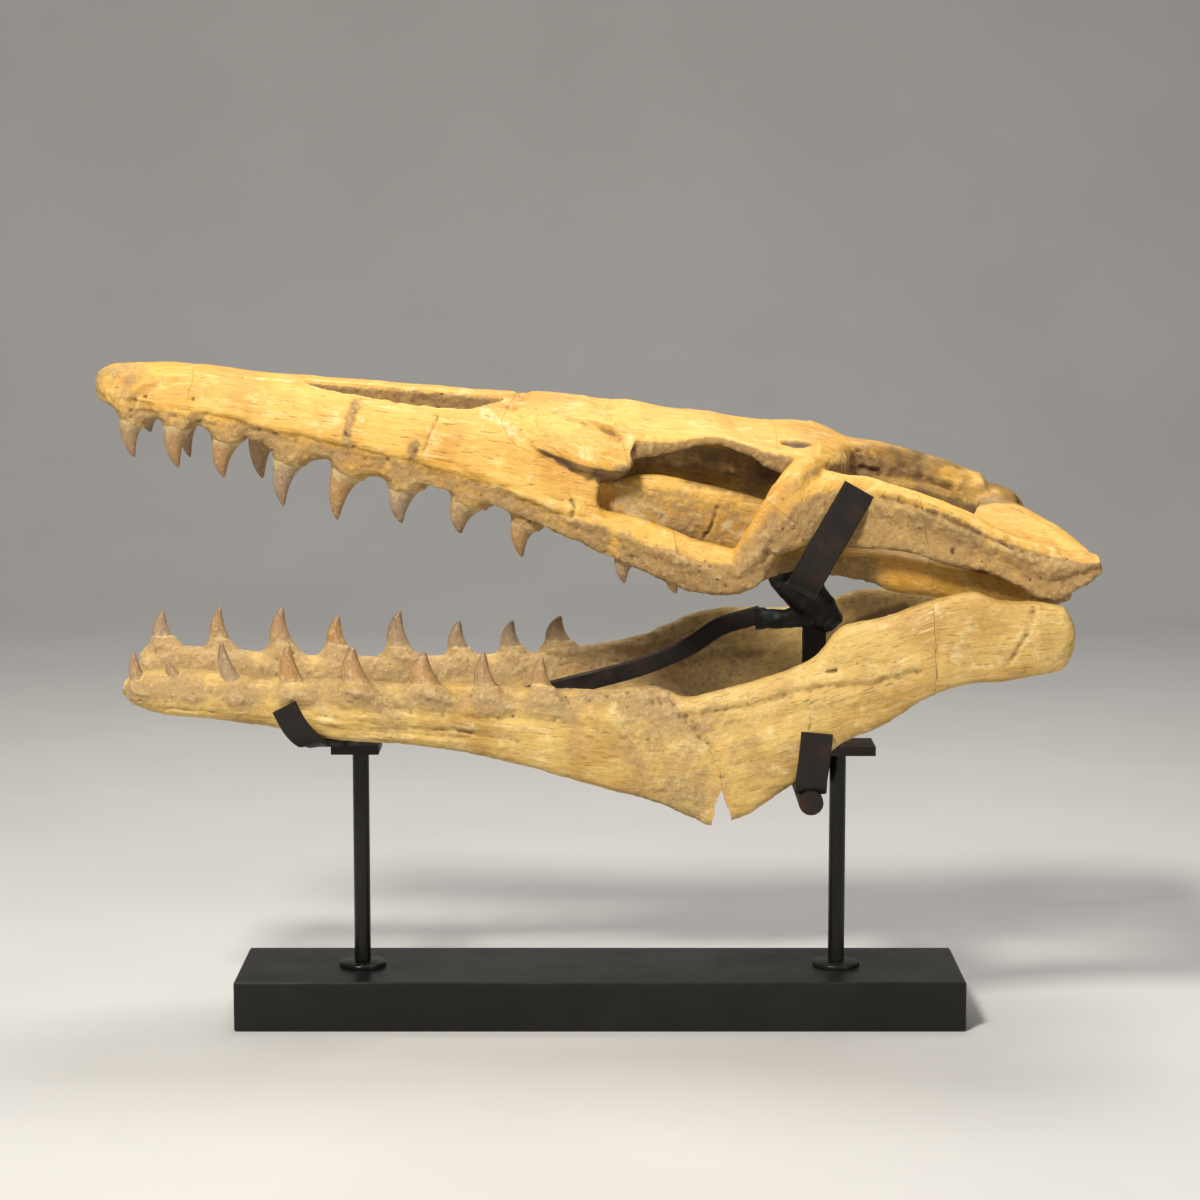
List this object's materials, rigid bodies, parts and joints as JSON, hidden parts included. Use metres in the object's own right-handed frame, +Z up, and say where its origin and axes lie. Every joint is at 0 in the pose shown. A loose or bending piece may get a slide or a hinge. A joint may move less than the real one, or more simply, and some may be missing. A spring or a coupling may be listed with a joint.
{
  "type": "mosasaur skull fossil on a stand",
  "caption": "Fossil skull of a mosasaur, a marine lizard, with open toothed jaws, held by a steel armature on two rods over a flat black base.",
  "frame": {"origin": "middle of the underside of the base", "axes": "+Z up; the snout points to -X; the left side of the skull faces -Y"},
  "size_m": [0.7381, 0.2544, 0.5004],
  "materials": {
    "fossil_bone": "matte, grained",
    "fossil_jaw": "matte, grained",
    "black_lacquer": "satin",
    "black_rod": "satin",
    "dark_steel": "oxidised, rust at the edges"
  },
  "bodies": {
    "root": {"premaxilla": "fossil_bone", "maxilla_left": "fossil_bone", "maxilla_right": "fossil_bone", "prefrontal_left": "fossil_bone", "prefrontal_right": "fossil_bone", "frontal": "fossil_bone", "parietal": "fossil_bone", "braincase": "fossil_bone", "jugal_left": "fossil_bone", "jugal_right": "fossil_bone", "postorbital_left": "fossil_bone", "postorbital_right": "fossil_bone", "squamosal_left": "fossil_bone", "squamosal_right": "fossil_bone", "pterygoid_left": "fossil_bone", "pterygoid_right": "fossil_bone", "dentary_left": "fossil_jaw", "dentary_right": "fossil_jaw", "surangular_left": "fossil_jaw", "surangular_right": "fossil_jaw", "articular_left": "fossil_jaw", "articular_right": "fossil_jaw", "stand_base": "black_lacquer", "stand_foot_front": "black_rod", "stand_foot_rear": "black_rod", "stand_rod_front": "black_rod", "stand_rod_rear": "black_rod", "stand_plate_front": "dark_steel", "stand_plate_rear": "dark_steel", "stand_bar_front": "dark_steel", "stand_bar_rear": "dark_steel", "stand_bracket_rear": "dark_steel", "stand_clip_front_left": "dark_steel", "stand_clip_front_right": "dark_steel", "stand_clip_rear_left": "dark_steel", "stand_clip_rear_right": "dark_steel", "stand_post": "dark_steel", "stand_knuckle": "dark_steel", "stand_strap_left": "dark_steel", "stand_strap_right": "dark_steel", "stand_strap_long": "dark_steel"}
  },
  "joints": []
}
